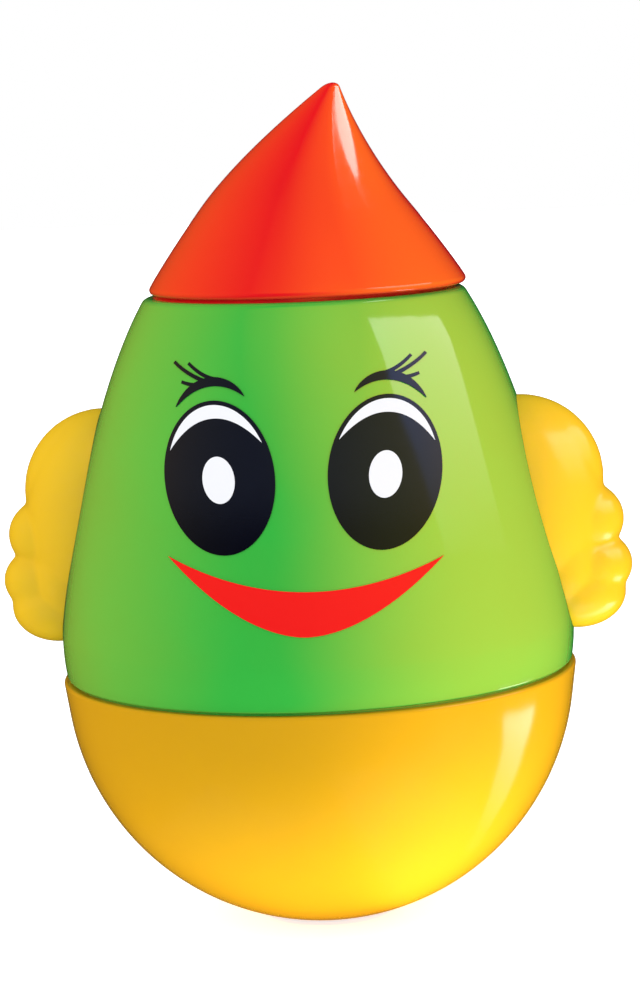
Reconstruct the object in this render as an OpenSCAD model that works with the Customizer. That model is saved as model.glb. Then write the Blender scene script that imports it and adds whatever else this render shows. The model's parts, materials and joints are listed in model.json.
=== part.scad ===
// Roly-poly toy: a round weighted base, a bell-shaped body with a printed face and two plump wings,
// a pointed cap that leans to one side, and a chime inside whose hammers swing against four rods.
// Millimetres, +Z up. The origin is the centre of the flat foot, and the face looks along -Y.

/* [Base] */
// Radius of the round base
base_r = 50; // [44:0.5:58]
// Wall of the base
base_wall = 2.5; // [2:0.1:3.5]
// Radius of the small flat that the toy rests on
foot_r = 9; // [6:0.5:12]
// How far the lip at the seam stands out past the round base
lip_proud = 0.4; // [0.2:0.1:0.8]
// Rounding of the lip
lip_round = 0.6; // [0.5:0.1:1.2]

/* [Body] */
// How far the body's widest ring stands out past the round base
body_proud = 0.27; // [0:0.01:1]
// Height of the body from the seam to its shoulder
body_h = 74; // [66:0.2:82]
// Radius of the body at its shoulder, before the edge is rounded
shoulder_r = 31; // [28:0.2:36]
// Rounding of the shoulder's edge
shoulder_round = 2; // [1:0.1:3]
// Wall of the body
body_wall = 2.2; // [1.6:0.1:3]
// How far the body's lower edge is tucked in from the round base
seam_tuck = 0.25; // [0:0.05:1]
// Height of the dark groove between base and body
seam_gap = 0.5; // [0.2:0.1:1]
// Rounding of the body's lower edge
seam_round = 0.6; // [0.3:0.1:1]
// Length of the spigot that plugs the body into the base
spigot_h = 7; // [5:0.5:10]

/* [Cap] */
// Height of the cap above the shoulder
cap_h = 39.9; // [32:0.1:50]
// How far the tip leans to the side
cap_lean = 6.5; // [0:0.1:12]
// How far the whole cap sits to the same side
cap_aside = 0.8; // [0:0.1:1]
// Radius of the cap's cone at its rim, before the rim is rounded
cap_r = 31.7; // [30.5:0.1:32.5]
// How far the cap's flank swells past a straight cone
cap_swell = 1; // [0:0.1:1.5]
// Rounding of the rim
rim_round = 0.9; // [0.6:0.1:1.4]
// Radius of the tip
tip_r = 2.4; // [2:0.1:5]
// Height of the dark gap under the rim
rim_gap = 0.6; // [0.5:0.1:1.5]
// Wall of the cap
cap_wall = 2; // [1.5:0.1:2.5]
// Length of the spigot that plugs the cap into the body
cap_spigot_h = 6; // [4:0.5:9]
// How far the cap's spigot stays inside the shoulder
cap_ledge = 6; // [4.5:0.1:8]

/* [Wings] */
// Height of a wing
wing_h = 45.8; // [40:0.2:50]
// Height of a wing's lowest point above the seam
wing_lift = 6.5; // [5:0.1:10]
// How far the longest finger stands out past the round base
wing_out = 11.9; // [10:0.1:15]
// Thickness of a wing at its root, where it is thickest
wing_depth = 28.8; // [24:0.2:32]
// Wall of a wing
wing_wall = 2; // [1.5:0.1:2.5]

/* [Face] */
// Turn of the printed face from the front, towards the right wing, in degrees
face_turn = 3; // [-5:0.5:5]
// Width of an eye
eye_w = 20.8; // [16:0.2:24]
// Height of an eye
eye_h = 27.6; // [24:0.2:32]
// Distance between the centres of the eyes
eye_apart = 30.4; // [26:0.2:34]
// Height of the eyes' centres above the seam
eye_z = 43.1; // [40:0.1:46]
// Outward lean of the eyes, in degrees
eye_lean = 5; // [0:0.5:8]
// Width of the black line round the white of an eye
eye_line = 0.8; // [0.5:0.1:1.5]
// Depth of the white crescent at the top of an eye
white_h = 2.4; // [1.5:0.1:4]
// Width of the glint in an eye
glint_w = 6; // [4:0.1:8]
// Height of the glint in an eye
glint_h = 8.4; // [6:0.1:10]
// Width of a brow, from its inner tip to its outer tip
brow_w = 13.05; // [11:0.05:14]
// Distance of a brow's inner tip from the middle of the face
brow_x = 10.1; // [8:0.1:12]
// Height of a brow's inner tip above the seam
brow_z = 57.65; // [56:0.05:60]
// Width of a brow's main stroke where it is widest
brow_line = 1.65; // [1:0.05:2.5]
// Width of a brow's upper flicks
flick_line = 0.8; // [0.5:0.05:1.2]
// Width of the mouth
mouth_w = 50.6; // [44:0.2:56]
// Height of the corners of the mouth above the seam
mouth_z = 28.05; // [25:0.05:31]
// How far the upper edge of the mouth dips below its corners
smile_upper = 5.4; // [3:0.1:7]
// How far the lower edge of the mouth dips below its corners
smile_lower = 13.5; // [10:0.1:16]
// Turn of the mouth, in degrees
mouth_turn = 1.9; // [-4:0.1:4]
// Thickness of a layer of print
print_t = 0.12; // [0.08:0.01:0.2]

/* [Weight] */
// Height of the counterweight
weight_h = 14; // [12:0.5:18]
// Radius of the three posts that hold the plate
post_r = 4.2; // [3.6:0.1:5]
// Distance of the posts from the axis
post_circle_r = 24; // [22:0.5:27]
// Thickness of the plate over the counterweight
plate_t = 2.5; // [2:0.1:4]

/* [Chime] */
// Radius of the steel ring
ring_r = 26; // [25:0.5:29]
// Thickness of the steel ring
ring_t = 4; // [3:0.5:6]
// Diameter of a rod
rod_d = 3; // [2:0.1:4]
// Distance of the rods from the axis
rod_circle_r = 23; // [22:0.1:24]
// Length of the longest rod above the ring
rod_long = 38; // [32:0.5:44]
// How much shorter each next rod is
rod_step = 4; // [2:0.5:5]
// Radius of the column
column_r = 4; // [3:0.1:5]
// Distance of the hammers' pins from the axis
pivot_circle_r = 11; // [10.5:0.1:11.8]
// Length of a hammer from its pin to the middle of its ball
hammer_l = 36; // [30:0.5:42]
// Radius of a hammer's ball
ball_r = 4.5; // [3.5:0.1:5]
// Height above the ring at which a ball strikes its rod
strike_h = 16.5; // [12:0.5:18]
// Diameter of a hammer's pin
pin_d = 2; // [1.5:0.1:2.4]

/* [Fasteners] */
// Diameter of a screw's shank
screw_d = 2.6; // [2.2:0.1:3]
// Diameter of a screw's head
head_d = 6; // [5:0.1:7]
// Height of a screw's head
head_h = 2; // [1.5:0.1:2.5]

/* [Hidden] */
$fn = 96;

// Clearances
fit_gap = 0.2;          // parts that plug together
seat_gap = 0.3;         // curved faces that lie against each other
print_gap = 0.05;       // print on its surface
hole_gap = 0.02;        // a rod or a pin in the hole that holds it
thread_gap = 0.1;       // a screw in its pilot hole
running_gap = 0.06;     // a hammer on its pin
overrun = 1;            // how far a cut runs past a face

// Places along the axis
seam_z = sqrt(base_r ^ 2 - foot_r ^ 2);
shoulder_z = seam_z + body_h;
bowl_r = base_r - base_wall;
weight_r = bowl_r - seat_gap;
weight_top = seam_z - weight_r + weight_h;
plate_top = weight_top + plate_t;
pad_h = head_h + overrun;
ring_z = plate_top + pad_h;
ring_top = ring_z + ring_t;
pivot_z = ring_top + strike_h + hammer_l;

// Curves through given points, for a share of the way along
function curve3(p, s) = (1 - s) ^ 2 * p[0] + 2 * (1 - s) * s * p[1] + s ^ 2 * p[2];
function curve4(p, s) = (1 - s) * curve3([p[0], p[1], p[2]], s) + s * curve3([p[1], p[2], p[3]], s);
function slope3(p, s) = 2 * (1 - s) * (p[1] - p[0]) + 2 * s * (p[2] - p[1]);
function slope4(p, s) = 3 * curve3([p[1] - p[0], p[2] - p[1], p[3] - p[2]], s);
function arc(centre, r, from, to, steps) =
    [for (i = [0:steps]) let (a = from + (to - from) * i / steps) centre + r * [cos(a), sin(a)]];
function blend(s, from, to) = let (u = min(max((s - from) / (to - from), 0), 1)) u * u * (3 - 2 * u);

// Outer curve of the body, from its lower edge to its shoulder, as [radius, height]
bulge_share = 0.109;
bulge_control_share = 0.1835;
flank_control_shares = [0.655, 0.728];
skirt_control_share = 0.04;
skirt_steps = 6;
flank_steps = 26;
body_r = base_r + body_proud;
edge_r = base_r - seam_tuck;
edge_z = seam_z + seam_gap + seam_round;
skirt_points = [
    [edge_r, edge_z],
    [body_r, edge_z + skirt_control_share * body_h],
    [body_r, seam_z + bulge_share * body_h]];
flank_points = [
    [body_r, seam_z + bulge_share * body_h],
    [body_r, seam_z + bulge_control_share * body_h],
    [shoulder_r + flank_control_shares[0] * (body_r - shoulder_r), seam_z + flank_control_shares[1] * body_h],
    [shoulder_r, shoulder_z]];
skirt = [for (i = [0:skirt_steps]) curve3(skirt_points, i / skirt_steps)];
flank = [for (i = [1:flank_steps]) curve4(flank_points, i / flank_steps)];
body_curve = concat(skirt, flank);
radius_table = [for (p = body_curve) [p[1], p[0]]];
function body_radius(z) = lookup(z, radius_table);

// Shoulder: an arc that touches the flank and the flat top
top_slope = slope4(flank_points, 1);
flank_lean = atan2(-top_slope[0], top_slope[1]);
shoulder_turn = tan((90 - flank_lean) / 2);
shoulder_centre = [shoulder_r - shoulder_round * shoulder_turn, shoulder_z - shoulder_round];
shoulder_steps = 6;
shoulder_arc = arc(shoulder_centre, shoulder_round, flank_lean, 90, shoulder_steps);
flank_below_shoulder = [for (p = body_curve) if (p[1] < shoulder_arc[0][1] - overrun / 2) p];
cap_spigot_r = shoulder_r - cap_ledge;
opening_r = cap_spigot_r + fit_gap;

// Plug between body and base
spigot_wall = 2;
spigot_r = bowl_r - 2 * seat_gap;
seat_r = spigot_r + fit_gap;
land_r = edge_r - body_wall / 2;
bead_r = 0.5;
bead_z = seam_z - spigot_h / 2;

// Base: a bowl with three posts for the plate
module base_shell() {
    boss_top = weight_top - fit_gap;
    seat_h = spigot_h + fit_gap;
    color("gold") difference() {
        union() {
            rotate_extrude() base_section(seat_h);
            intersection() {
                around_posts() cylinder(r = post_r, h = boss_top);
                translate([0, 0, seam_z]) sphere(r = base_r - base_wall / 2);
            }
        }
        around_posts() translate([0, 0, boss_top - pilot_depth]) {
            cylinder(d = screw_d + thread_gap, h = base_r);
        }
    }
}
// Half section of the bowl, which flares to its lip, with the seat of the body's spigot
// and the groove of its snap bead. The flare touches the bowl and the round of the lip,
// and starts just inside the bowl.
module base_section(seat_h) {
    lip_r = base_r + lip_proud - lip_round;
    flare = acos((base_r - lip_round) / norm([lip_r, lip_round])) + atan2(lip_round, lip_r);
    outwards = [cos(flare), -sin(flare)];
    flare_low = [0, seam_z] + (base_r - overrun / 10) * outwards;
    flare_high = [lip_r, seam_z - lip_round] + lip_round * outwards;
    difference() {
        union() {
            intersection() {
                translate([0, seam_z]) circle(r = base_r);
                square([base_r + lip_proud, seam_z]);
            }
            polygon([[0, flare_low[1]], flare_low, flare_high, [lip_r, seam_z], [0, seam_z]]);
            translate([lip_r, seam_z - lip_round]) circle(r = lip_round);
            translate([0, seam_z - 2 * lip_round]) square([lip_r, 2 * lip_round]);
        }
        intersection() {
            translate([0, seam_z]) circle(r = bowl_r);
            square([base_r, seam_z - seat_h]);
        }
        translate([0, seam_z - seat_h - overrun]) square([seat_r, seat_h + 2 * overrun]);
        translate([seat_r, bead_z]) circle(r = bead_r);
        translate([-base_r, -overrun]) square([base_r, 2 * base_r]);
    }
}

// Places that repeat
post_count = 3;
pilot_depth = 6;
module around_posts() {
    for (i = [0:post_count - 1]) {
        rotate([0, 0, 90 + i * 360 / post_count]) translate([post_circle_r, 0, 0]) children();
    }
}
chime_count = 4;
function chime_angle(i) = 45 + (i - 1) * 360 / chime_count;

// A screw with its head's underside at the origin and its shank along -Z
module screw(shank) {
    cylinder(d = head_d, h = head_h);
    translate([0, 0, -shank]) cylinder(d = screw_d, h = shank);
}

// Counterweight: fills the bottom of the bowl, and drops over the three posts
weight_hole_gap = 2;
weight_hole_r = head_d / 2 + weight_hole_gap;
module counterweight() {
    color("dimgray") difference() {
        intersection() {
            translate([0, 0, seam_z]) sphere(r = weight_r);
            cylinder(r = base_r, h = weight_top);
        }
        around_posts() cylinder(r = post_r + seat_gap, h = base_r);
        cylinder(r = weight_hole_r, h = base_r);
    }
}

// Plate: holds the counterweight down, and carries the chime on its raised pad
plate_edge_gap = 1;
plate_r = sqrt(bowl_r ^ 2 - (seam_z - weight_top) ^ 2) - plate_edge_gap;
pad_r = 13;
module weight_plate() {
    color("whitesmoke") difference() {
        union() {
            translate([0, 0, weight_top]) cylinder(r = plate_r, h = plate_t);
            translate([0, 0, plate_top]) cylinder(r = pad_r, h = pad_h);
        }
        around_posts() cylinder(d = screw_d + 2 * fit_gap, h = base_r);
        cylinder(d = screw_d + 2 * fit_gap, h = base_r);
    }
}
module plate_screws() {
    color("silver") around_posts() translate([0, 0, plate_top]) screw(plate_t + pilot_depth - overrun);
}

// Chime: a steel ring with four rods, clamped to the pad by the foot of the column
column_foot_r = 6;
flange_r = 11;
flange_t = 2.5;
column_pilot_h = 12;
module chime_ring() {
    color("lightsteelblue") difference() {
        translate([0, 0, ring_z]) cylinder(r = ring_r, h = ring_t);
        cylinder(r = column_foot_r + fit_gap, h = base_r);
        for (i = [1:chime_count]) {
            at_rod(i) translate([0, 0, -overrun]) cylinder(d = rod_d + 2 * hole_gap, h = base_r);
        }
    }
}
module at_rod(i) {
    rotate([0, 0, chime_angle(i)]) translate([rod_circle_r, 0, ring_z]) children();
}
module chime_rod(i) {
    color("silver") at_rod(i) cylinder(d = rod_d, h = ring_t + rod_long - (i - 1) * rod_step);
}

// Column: a post with four forks at its top, one for each hammer
hub_r = 2.6;
hub_w = 3;
fork_gap = 0.2;
fork_wall = 2;
fork_r = 3;
fork_w = hub_w + 2 * fork_gap + 2 * fork_wall;
fork_slot_gap = 0.6;
module chime_column() {
    color("whitesmoke") difference() {
        union() {
            translate([0, 0, ring_z + fit_gap]) cylinder(r = column_foot_r, h = ring_t);
            translate([0, 0, ring_top]) cylinder(r = flange_r, h = flange_t);
            translate([0, 0, ring_top]) cylinder(r = column_r, h = pivot_z - ring_top);
            for (i = [1:chime_count]) at_fork(i) fork_arm();
        }
        for (i = [1:chime_count]) at_fork(i) fork_cuts();
        cylinder(d = screw_d + thread_gap, h = ring_z + column_pilot_h);
    }
}
// Turned to a hammer's direction, at the height of its pin: X points away from the axis
module at_fork(i) {
    translate([0, 0, pivot_z]) rotate([0, 0, chime_angle(i)]) children();
}
module along_pin(length) {
    translate([pivot_circle_r, length / 2, 0]) rotate([90, 0, 0]) children();
}
module fork_arm() {
    translate([0, -fork_w / 2, -fork_r]) cube([pivot_circle_r, fork_w, 2 * fork_r]);
    along_pin(fork_w) cylinder(r = fork_r, h = fork_w);
}
module fork_cuts() {
    slot_w = hub_w + 2 * fork_gap;
    slot_r = pivot_circle_r - hub_r - fork_slot_gap;
    translate([slot_r, -slot_w / 2, -2 * fork_r]) cube([pivot_circle_r, slot_w, 4 * fork_r]);
    along_pin(2 * fork_w) cylinder(d = pin_d + 2 * hole_gap, h = 2 * fork_w);
}
module column_screw() {
    shank = ring_z - weight_top + column_pilot_h - overrun;
    color("silver") translate([0, 0, weight_top]) rotate([180, 0, 0]) screw(shank);
}
module hammer_pin(i) {
    color("silver") at_fork(i) along_pin(fork_w) cylinder(d = pin_d, h = fork_w);
}

// Hammer: hangs from its pin and strikes its rod when the toy rocks
arm_t = 2.4;
module hammer(i) {
    color("tomato") at_fork(i) difference() {
        union() {
            along_pin(hub_w) cylinder(r = hub_r, h = hub_w);
            translate([pivot_circle_r - arm_t / 2, -hub_w / 2, -hammer_l]) cube([arm_t, hub_w, hammer_l]);
            translate([pivot_circle_r, 0, -hammer_l]) sphere(r = ball_r);
        }
        along_pin(2 * hub_w) cylinder(d = pin_d + 2 * running_gap, h = 2 * hub_w);
    }
}

// Body: a bell with a spigot and snap bead below, an opening for the cap above,
// and pads for the wings' screws
chamfer_h = 2.5;
module body_shell() {
    inner_curve = [for (p = flank_below_shoulder)
        if (p[1] > edge_z + chamfer_h && p[1] < shoulder_z - body_wall) [p[0] - body_wall, p[1]]];
    ceiling = [body_radius(shoulder_z - body_wall) - body_wall, shoulder_z - body_wall];
    section = concat(
        [[spigot_r - spigot_wall, seam_z - spigot_h], [spigot_r, seam_z - spigot_h], [spigot_r, seam_z],
         [land_r, seam_z], [land_r, seam_z + seam_gap]],
        arc([edge_r - seam_round, edge_z], seam_round, -90, 0, shoulder_steps),
        [for (i = [1:len(flank_below_shoulder) - 1]) flank_below_shoulder[i]],
        shoulder_arc,
        [[opening_r, shoulder_z], [opening_r, ceiling[1]], ceiling],
        [for (i = [len(inner_curve) - 1:-1:0]) inner_curve[i]],
        [[spigot_r - spigot_wall, seam_z]]);
    color("limegreen") difference() {
        union() {
            rotate_extrude() polygon(section);
            rotate_extrude() translate([spigot_r - bead_r / 2, bead_z]) circle(r = bead_r);
            intersection() {
                at_pads() cylinder(r = pad_face_r, h = body_r);
                body_solid(-body_wall / 2);
            }
        }
        at_pads() translate([0, 0, -body_r]) cylinder(d = screw_d + 2 * fit_gap, h = 2 * body_r);
    }
}
// Solid of the body's outer shape, with its surface moved outwards
module body_solid(out) {
    rotate_extrude() polygon(concat(
        [[0, edge_z - seam_round], [edge_r + out, edge_z - seam_round]],
        [for (p = body_curve) [p[0] + out, p[1]]],
        [[0, shoulder_z]]));
}

// Screws of the wings: two on each side, from inside the body
pad_in = 3;
pad_edge = 1;
pad_face_r = head_d / 2 + pad_edge;
wing_screw_shares = [0.3, 0.68];
function wing_screw_z(share) = wing_z + share * wing_h;
function pad_x(share) = body_radius(wing_screw_z(share)) - body_wall - pad_in;
// On the right side, at the inner face of each pad, with Z pointing outwards
module at_right_pads() {
    for (share = wing_screw_shares) {
        translate([pad_x(share), 0, wing_screw_z(share)]) rotate([0, 90, 0]) children();
    }
}
module at_pads() {
    at_right_pads() children();
    mirror([1, 0, 0]) at_right_pads() children();
}
screw_bite = 7;
wing_screw_l = pad_in + body_wall + screw_bite;
module wing_screws() {
    color("silver") at_pads() mirror([0, 0, 1]) screw(wing_screw_l);
}

// Wings: plump hollow hands. In the outline, the core, the palm and the four fingers are circles,
// whose places are shares of the wing's height, outwards from the root and upwards from the lowest point.
core_shares = [0, 0.381];
core_r_share = 0.271;
palm_shares = [0.01, 0.341];
palm_r_share = 0.33;
finger_shares = [[-0.113, 0.65], [0.18, 0.462], [0.221, 0.286], [0.113, 0.216]];
finger_r_shares = [0.349, 0.137, 0.126, 0.216];
groove_fade_shares = [0.4, 0.95];
depth_top_share = 0.68;
sharpness = 40;
plumpness = 0.7;
wing_z = seam_z + wing_lift;
wing_reach_share = finger_shares[2][0] + finger_r_shares[2];
wing_root = base_r + wing_out - wing_reach_share * wing_h;
wing_core = [wing_root, wing_z] + wing_h * core_shares;
function wing_circle(place, r) = [wing_root + wing_h * place[0], wing_z + wing_h * place[1], wing_h * r];
core = wing_circle(core_shares, core_r_share);
fingers = [for (i = [0:len(finger_shares) - 1]) wing_circle(finger_shares[i], finger_r_shares[i])];
palm = wing_circle(palm_shares, palm_r_share);
hand_with_fingers = concat([core], fingers);
hand_without_grooves = [palm, fingers[0]];
// Distance from the core to the far side of a circle in a direction, and to the outline of several circles
function reach(circle, angle) = let (
    away = [circle[0], circle[1]] - wing_core,
    along = away * [cos(angle), sin(angle)],
    rest = circle[2] ^ 2 - (away * away - along ^ 2))
    rest > 0 ? max(along + sqrt(rest), 0) : 0;
function total(list, i = 0) = i < len(list) ? list[i] + total(list, i + 1) : 0;
function joint_reach(circles, angle) =
    total([for (c = circles) reach(c, angle) ^ sharpness]) ^ (1 / sharpness);
function height_share(z) = min(max((z - wing_z) / wing_h, 0), 1);
function half_depth(z) = wing_depth / 2 * (1 - (1 - depth_top_share) * height_share(z));
// Point of the wing's skin: angle runs round the outline, and turn from the front (-90) to the back (90)
function wing_point(angle, turn, inset) = let (
    share = cos(turn) ^ plumpness,
    groove = blend(share, groove_fade_shares[0], groove_fade_shares[1]),
    fingered = joint_reach(hand_with_fingers, angle),
    smooth = joint_reach(hand_without_grooves, angle),
    out = smooth + groove * (fingered - smooth),
    place = wing_core + share * (out - inset) * [cos(angle), sin(angle)])
    [place[0], (half_depth(place[1]) - inset) * sin(turn), place[1]];
module wing_pillow(inset, sides, rings) {
    pole_y = half_depth(wing_core[1]) - inset;
    points = concat(
        [for (k = [1:rings - 1], j = [0:sides - 1])
            wing_point(j * 360 / sides, -90 + k * 180 / rings, inset)],
        [[wing_core[0], -pole_y, wing_core[1]], [wing_core[0], pole_y, wing_core[1]]]);
    front = len(points) - 2;
    back = len(points) - 1;
    last = (rings - 2) * sides;
    faces = concat(
        [for (j = [0:sides - 1]) [front, (j + 1) % sides, j]],
        [for (k = [0:rings - 3], j = [0:sides - 1], half = [0, 1])
            let (a = k * sides + j, b = k * sides + (j + 1) % sides)
            half == 0 ? [a, b, b + sides] : [a, b + sides, a + sides]],
        [for (j = [0:sides - 1]) [back, last + j, last + (j + 1) % sides]]);
    polyhedron(points, faces);
}
wing_sides = 60;
wing_rings = 18;
cavity_sides = 30;
cavity_rings = 10;
wing_boss_r = 3.5;
module right_wing() {
    color("gold") difference() {
        union() {
            difference() {
                wing_pillow(0, wing_sides, wing_rings);
                wing_pillow(wing_wall, cavity_sides, cavity_rings);
            }
            intersection() {
                wing_pillow(wing_wall / 2, cavity_sides, cavity_rings);
                at_right_pads() cylinder(r = wing_boss_r, h = body_r);
            }
        }
        body_solid(print_gap);
        at_right_pads() cylinder(d = screw_d + thread_gap, h = wing_screw_l + overrun);
    }
}
module left_wing() {
    mirror([1, 0, 0]) right_wing();
}

// Cap: a swollen cone with a rounded rim and tip, bent to one side, with a spigot below. One skin of rings,
// from the tip of the hollow down to the spigot, out round the rim and up to the tip,
// as [radius, height over the rim].
rim_z = shoulder_z + rim_gap;
cone_h = cap_h - rim_gap;
cone_lean = atan2(cap_r, cone_h - tip_r) - asin(tip_r / norm([cap_r, cone_h - tip_r]));
rim_centre = [cap_r - rim_round / tan((90 - cone_lean) / 2), rim_round];
cap_spigot_wall = 2;
cap_land_share = 0.9;
cap_land_r = cap_spigot_r + cap_land_share * (rim_centre[0] - cap_spigot_r);
cap_sides = 48;
rim_steps = 6;
cone_steps = 12;
tip_steps = 5;
hollow_tip_share = 0.05;
swell_power = 0.8;
function flank_share(h) = min(max((h - cone_from) / (cone_to - cone_from), 0), 1);
function swell(h) = cap_swell * sin(180 * flank_share(h) ^ swell_power);
function cone_radius(h) = cap_r - h * tan(cone_lean) + swell(h);
function hollow_radius(h) = cone_radius(h) - cap_wall / cos(cone_lean);
// The cap stands straight up to a share of its height, and bends over from there
bend_from = 0.42;
bend_power = 1.8;
function bend_share(h) = max(0, (h / cone_h - bend_from) / (1 - bend_from));
function cap_shift(h) = h < 0 ? 0 : cap_aside + cap_lean * bend_share(h) ^ bend_power;
rim_arc = arc(rim_centre, rim_round, -90, cone_lean, rim_steps);
tip_arc = arc([0, cone_h - tip_r], tip_r, cone_lean, 90, tip_steps);
cone_from = rim_arc[rim_steps][1];
cone_to = tip_arc[0][1];
hollow_to = (1 - hollow_tip_share) * (cap_r - cap_wall / cos(cone_lean)) / tan(cone_lean);
cap_section = concat(
    [for (i = [0:cone_steps]) let (h = hollow_to + (cap_wall - hollow_to) * i / cone_steps)
        [hollow_radius(h), h]],
    [[cap_spigot_r - cap_spigot_wall, cap_wall],
     [cap_spigot_r - cap_spigot_wall, -rim_gap - cap_spigot_h],
     [cap_spigot_r, -rim_gap - cap_spigot_h],
     [cap_spigot_r, -rim_gap],
     [cap_land_r, -rim_gap],
     [cap_land_r, 0]],
    rim_arc,
    [for (i = [1:cone_steps - 1]) let (h = cone_from + (cone_to - cone_from) * i / cone_steps)
        [cone_radius(h), h]],
    [for (i = [0:tip_steps - 1]) tip_arc[i]]);
module cap() {
    rings = len(cap_section);
    points = concat(
        [for (p = cap_section, j = [0:cap_sides - 1]) let (a = j * 360 / cap_sides)
            [p[0] * cos(a) + cap_shift(p[1]), p[0] * sin(a), rim_z + p[1]]],
        [[cap_shift(hollow_to), 0, rim_z + hollow_to], [cap_shift(cone_h), 0, rim_z + cone_h]]);
    hollow_pole = len(points) - 2;
    tip_pole = len(points) - 1;
    last = (rings - 1) * cap_sides;
    faces = concat(
        [for (j = [0:cap_sides - 1]) [hollow_pole, j, (j + 1) % cap_sides]],
        [for (k = [0:rings - 2], j = [0:cap_sides - 1], half = [0, 1])
            let (a = k * cap_sides + j, b = k * cap_sides + (j + 1) % cap_sides)
            half == 0 ? [b, a, a + cap_sides] : [b, a + cap_sides, b + cap_sides]],
        [for (j = [0:cap_sides - 1]) [tip_pole, last + (j + 1) % cap_sides, last + j]]);
    color("red") polyhedron(points, faces);
}

// Print: thin layers that follow the body. A layer is drawn on a plane in front of the face,
// x to the right and z up from the seam, as a row of cross lines,
// each from its lower end to its upper end and cut in a few steps.
print_steps = 24;
wide_steps = 5;
narrow_steps = 2;
end_angle = 7;
function on_body(p, lift) = let (r = body_radius(seam_z + p[1]) + lift)
    [p[0], -sqrt(r ^ 2 - p[0] ^ 2), seam_z + p[1]];
function turned(p, angle) = [p[0] * cos(angle) - p[1] * sin(angle), p[0] * sin(angle) + p[1] * cos(angle)];
module print_layer(lines, lift, cross_steps) {
    flat = [for (line = lines, j = [0:cross_steps]) line[0] + (line[1] - line[0]) * j / cross_steps];
    row = cross_steps + 1;
    size = len(flat);
    end = len(lines) - 1;
    points = concat([for (p = flat) on_body(p, lift + print_t)], [for (p = flat) on_body(p, lift)]);
    skin = [for (i = [0:end - 1], j = [0:cross_steps - 1], half = [0, 1]) let (a = i * row + j)
        half == 0 ? [a, a + 1, a + row + 1] : [a, a + row + 1, a + row]];
    rim = concat([for (j = [0:cross_steps]) j], [for (i = [1:end]) i * row + cross_steps],
        [for (j = [cross_steps - 1:-1:0]) end * row + j], [for (i = [end - 1:-1:1]) i * row]);
    faces = concat(skin,
        [for (f = skin) [f[2] + size, f[1] + size, f[0] + size]],
        [for (i = [0:len(rim) - 1], half = [0, 1]) let (a = rim[i], b = rim[(i + 1) % len(rim)])
            half == 0 ? [b, a, a + size] : [b, a + size, b + size]]);
    rotate([0, 0, face_turn]) polyhedron(points, faces);
}
function ellipse_lines(centre, w, h, lean) = [for (i = [0:print_steps])
    let (a = end_angle + (180 - 2 * end_angle) * i / print_steps, x = -w / 2 * cos(a), z = h / 2 * sin(a))
    [centre + turned([x, -z], lean), centre + turned([x, z], lean)]];
layer_lift = print_gap + print_t + print_gap;

// Eyes: a black oval, with a white crescent at its top and a white glint in its middle
glint_drop = 0.4;
white_tip_angle = 25;
white_power = 2.05;
function crescent_lines(centre, w, h, depth, lean) = let (
    tip = [w / 2 * cos(white_tip_angle), h / 2 * sin(white_tip_angle)],
    rise = h / 2 - depth - tip[1],
    first = white_tip_angle + end_angle / 2)
    [for (i = [0:print_steps])
        let (a = first + (180 - 2 * first) * i / print_steps, x = -w / 2 * cos(a))
        [centre + turned([x, tip[1] + rise * (1 - abs(x / tip[0]) ^ white_power)], lean),
         centre + turned([x, h / 2 * sin(a)], lean)]];
function eye_centre(side) = [side * eye_apart / 2, eye_z];
module eye(side) {
    oval = ellipse_lines(eye_centre(side), eye_w, eye_h, -side * eye_lean);
    color("black") print_layer(oval, print_gap, wide_steps);
}
module eye_white(side) {
    inner_w = eye_w - 2 * eye_line;
    inner_h = eye_h - 2 * eye_line;
    crescent = crescent_lines(eye_centre(side), inner_w, inner_h, white_h, -side * eye_lean);
    glint = ellipse_lines(eye_centre(side) - [0, glint_drop], glint_w, glint_h, -side * eye_lean);
    color("white") {
        print_layer(crescent, layer_lift, narrow_steps);
        print_layer(glint, layer_lift, narrow_steps);
    }
}
module left_eye() {
    eye(-1);
}
module right_eye() {
    eye(1);
}
module left_eye_white() {
    eye_white(-1);
}
module right_eye_white() {
    eye_white(1);
}

// Brows: a leaf-shaped stroke and three flicks. Their points are shares of the brow's width,
// from its inner tip.
brow_shares = [[0, 0], [0.24, 0.28], [0.7, 0.295], [1, -0.157]];
flick_shares = [
    [[0.39, 0.226], [0.6, 0.253], [0.81, 0.447]],
    [[0.49, 0.18], [0.81, 0.271], [1.015, 0.457]],
    [[0.6, 0.146], [0.79, 0.143], [0.916, 0.19]]];
flick_taper_share = 0.75;
leaf_power = 0.7;
stroke_steps = 10;
function cross_line(p, slope, w) =
    let (side = w / 2 * [-slope[1], slope[0]] / norm(slope)) [p - side, p + side];
function brow_points(shares) = [for (s = shares) [brow_x, brow_z] + brow_w * s];
function leaf_lines(p, w) = [for (i = [0:stroke_steps])
    let (s = i / stroke_steps, a = end_angle + (180 - 2 * end_angle) * s)
    cross_line(curve4(p, s), slope4(p, s), w * sin(a) ^ leaf_power)];
function flick_lines(p, w) = [for (i = [0:stroke_steps]) let (s = i / stroke_steps)
    cross_line(curve3(p, s), slope3(p, s), w * (1 - (1 - flick_taper_share) * s))];
function mirrored(lines) = [for (line = lines) [for (p = line) [-p[0], p[1]]]];
function backwards(lines) = [for (i = [len(lines) - 1:-1:0]) lines[i]];
brow_strokes = concat([leaf_lines(brow_points(brow_shares), brow_line)],
    [for (flick = flick_shares) flick_lines(brow_points(flick), flick_line)]);
module right_brow() {
    color("black") for (lines = brow_strokes) print_layer(lines, print_gap, narrow_steps);
}
module left_brow() {
    color("black") for (lines = brow_strokes) {
        print_layer(backwards(mirrored(lines)), print_gap, narrow_steps);
    }
}

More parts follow.
